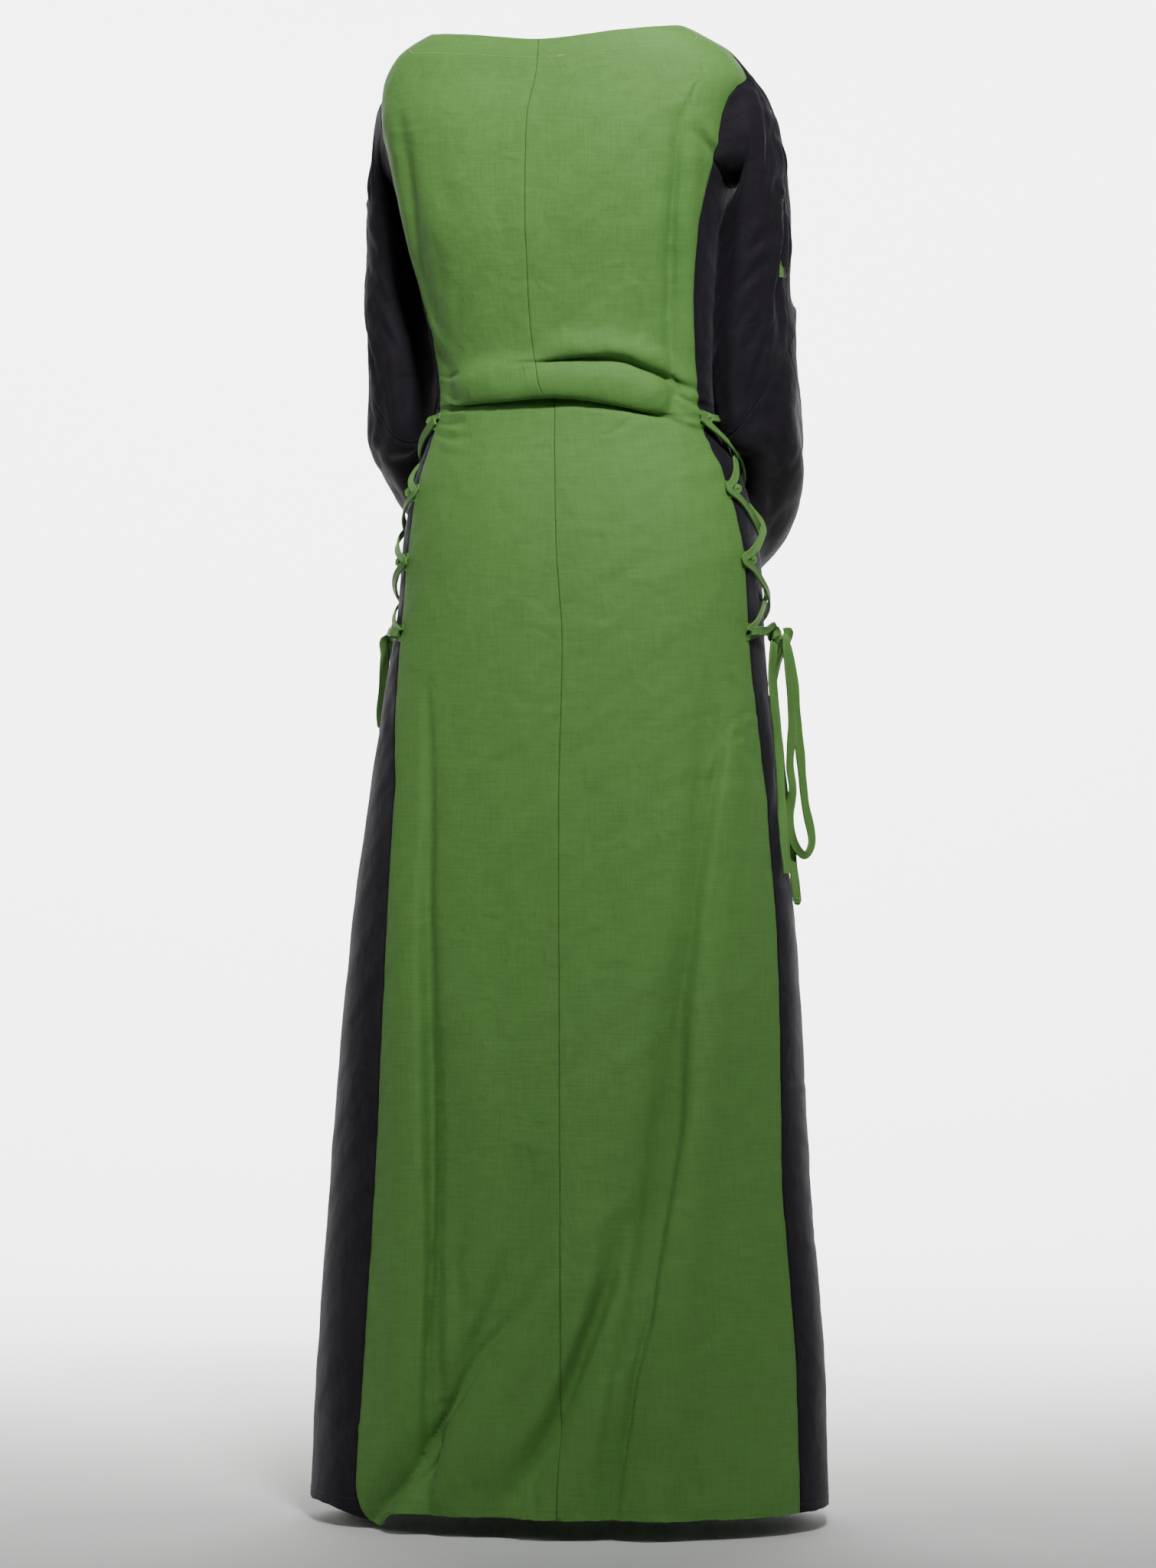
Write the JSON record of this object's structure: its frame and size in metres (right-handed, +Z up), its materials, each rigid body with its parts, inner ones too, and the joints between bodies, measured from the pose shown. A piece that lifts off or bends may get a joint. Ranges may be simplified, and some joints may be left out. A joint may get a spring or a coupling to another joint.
{
  "type": "laced floor-length costume dress, worn form",
  "caption": "Floor-length costume dress with a wide neck, crossed side lacing, slashed upper sleeves and trumpet cuffs, hollow and filled out as it is worn.",
  "frame": {"origin": "between the shoulders at the height of the neck, where the wearer holds the dress up", "axes": "+Z up, the front faces -Y, and the wearer's right side is -X"},
  "size_m": [0.5272, 0.4502, 1.4766],
  "materials": {
    "green_cloth": "fine plain weave with a soft satin sheen",
    "dark_cloth": "smooth dark weave with a soft sheen",
    "green_lace": "flat tape of the green cloth"
  },
  "bodies": {
    "root": {"front": "green_cloth", "back_left": "green_cloth", "back_right": "green_cloth", "side_panel_left": "dark_cloth", "side_panel_right": "dark_cloth", "sleeve_upper_left": "dark_cloth", "sleeve_upper_right": "dark_cloth", "sleeve_lower_left": "dark_cloth", "sleeve_lower_right": "dark_cloth", "slash_left": "green_cloth", "slash_right": "green_cloth", "lacing_left": "green_lace", "lacing_right": "green_lace", "knot_left": "green_lace", "knot_right": "green_lace", "bow_loop_long_left": "green_lace", "bow_loop_long_right": "green_lace", "bow_loop_short_left": "green_lace", "bow_loop_short_right": "green_lace", "lace_end_short_left": "green_lace", "lace_end_short_right": "green_lace", "lace_end_long_left": "green_lace", "lace_end_long_right": "green_lace"}
  },
  "joints": []
}
